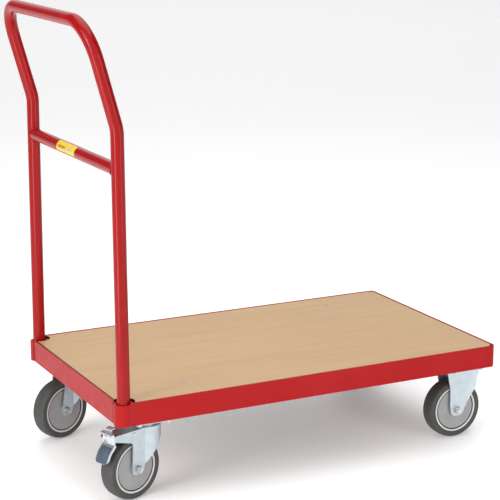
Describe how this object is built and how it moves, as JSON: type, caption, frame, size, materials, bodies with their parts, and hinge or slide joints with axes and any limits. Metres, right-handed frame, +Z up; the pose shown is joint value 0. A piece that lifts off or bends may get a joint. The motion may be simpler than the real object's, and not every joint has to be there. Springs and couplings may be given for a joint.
{
  "type": "flatbed platform truck",
  "caption": "Flatbed platform truck: wooden deck in a steel frame, bent tube push handle in corner sockets, swivel castors with a foot brake and fixed castors.",
  "frame": {"origin": "on the floor, in the middle of the whole truck", "axes": "+X along the deck to the front end with the fixed castors, the handle stands at -X; +Y to the far side; +Z up"},
  "size_m": [0.9012, 0.501, 0.927],
  "materials": {
    "bearing_steel": "oiled bearing steel",
    "beech_board": "beech-pattern deck board, matt lacquer",
    "fastener_steel": "zinc-plated fasteners",
    "frame_red": "red powder coat, slight orange peel",
    "guard_grey": "mid grey moulded cover",
    "handle_red": "red powder coat, smooth and semi-gloss",
    "label_yellow": "yellow film label with plain colour blocks",
    "pedal_steel": "bright zinc-plated sheet",
    "shoe_black": "black rubber block",
    "tyre_grey": "dark grey solid rubber, matt",
    "wheel_grey": "light grey moulded polypropylene",
    "zinc": "bright zinc plating with a faint blue tone"
  },
  "bodies": {
    "chassis": {"side_rail_near": "frame_red", "side_rail_far": "frame_red", "end_rail_rear": "frame_red", "end_rail_front": "frame_red", "front_corners": "frame_red", "handle_sockets": "frame_red", "cross_channels": "frame_red", "castor_mounting_plates": "frame_red", "deck_board": "beech_board", "deck_screws": "fastener_steel", "deck_nuts": "fastener_steel", "castor_bolts": "fastener_steel", "castor_nuts": "fastener_steel", "top_plate_swivel_near": "zinc", "top_plate_swivel_far": "zinc", "king_pin_swivel_near": "zinc", "king_pin_swivel_far": "zinc", "fork_fixed_near": "zinc", "fork_fixed_far": "zinc", "thread_guards_fixed_near": "guard_grey", "axle_spacers_fixed_near": "fastener_steel", "axle_bolt_fixed_near": "fastener_steel", "axle_nut_fixed_near": "fastener_steel", "thread_guards_fixed_far": "guard_grey", "axle_spacers_fixed_far": "fastener_steel", "axle_bolt_fixed_far": "fastener_steel", "axle_nut_fixed_far": "fastener_steel"},
    "handle": {"push_handle": "handle_red", "handle_crossbar": "handle_red", "handle_label": "label_yellow"},
    "swivel_near": {"fork_swivel_near": "zinc", "swivel_balls_swivel_near": "bearing_steel", "brake_pivot_pin": "fastener_steel", "thread_guards_swivel_near": "guard_grey", "axle_spacers_swivel_near": "fastener_steel", "axle_bolt_swivel_near": "fastener_steel", "axle_nut_swivel_near": "fastener_steel"},
    "swivel_far": {"fork_swivel_far": "zinc", "swivel_balls_swivel_far": "bearing_steel", "thread_guards_swivel_far": "guard_grey", "axle_spacers_swivel_far": "fastener_steel", "axle_bolt_swivel_far": "fastener_steel", "axle_nut_swivel_far": "fastener_steel"},
    "brake": {"brake_pedal": "pedal_steel", "brake_shoe": "shoe_black"},
    "wheel_swivel_near": {"tyre_swivel_near": "tyre_grey", "wheel_centre_swivel_near": "wheel_grey", "roller_bearing_swivel_near": "bearing_steel"},
    "wheel_swivel_far": {"tyre_swivel_far": "tyre_grey", "wheel_centre_swivel_far": "wheel_grey", "roller_bearing_swivel_far": "bearing_steel"},
    "wheel_fixed_near": {"tyre_fixed_near": "tyre_grey", "wheel_centre_fixed_near": "wheel_grey", "roller_bearing_fixed_near": "bearing_steel"},
    "wheel_fixed_far": {"tyre_fixed_far": "tyre_grey", "wheel_centre_fixed_far": "wheel_grey", "roller_bearing_fixed_far": "bearing_steel"}
  },
  "joints": [
    {"name": "handle_lift", "type": "slide", "parent": "chassis", "child": "handle", "axis": [0, 0, 1], "range_m": [0, 0.035]},
    {"name": "swivel_near_turn", "type": "hinge", "parent": "chassis", "child": "swivel_near", "pos_m": [-0.32322, -0.1914, 0.16], "axis": [0, 0, 1], "continuous": true},
    {"name": "swivel_near_roll", "type": "hinge", "parent": "swivel_near", "child": "wheel_swivel_near", "pos_m": [-0.36063, -0.20377, 0.0625], "axis": [0.314, -0.9494, 0], "continuous": true},
    {"name": "swivel_far_turn", "type": "hinge", "parent": "chassis", "child": "swivel_far", "pos_m": [-0.32322, 0.1914, 0.16], "axis": [0, 0, 1], "continuous": true},
    {"name": "swivel_far_roll", "type": "hinge", "parent": "swivel_far", "child": "wheel_swivel_far", "pos_m": [-0.36046, 0.17851, 0.0625], "axis": [0.3272, -0.9449, 0], "continuous": true},
    {"name": "fixed_near_roll", "type": "hinge", "parent": "chassis", "child": "wheel_fixed_near", "pos_m": [0.38388, -0.1878, 0.0625], "axis": [0, -1, 0], "continuous": true},
    {"name": "fixed_far_roll", "type": "hinge", "parent": "chassis", "child": "wheel_fixed_far", "pos_m": [0.38388, 0.1878, 0.0625], "axis": [0, -1, 0], "continuous": true},
    {"name": "brake_press", "type": "hinge", "parent": "swivel_near", "child": "brake", "pos_m": [-0.36804, -0.20622, 0.1345], "axis": [0.314, -0.9494, 0], "range_deg": [0, 8]}
  ]
}
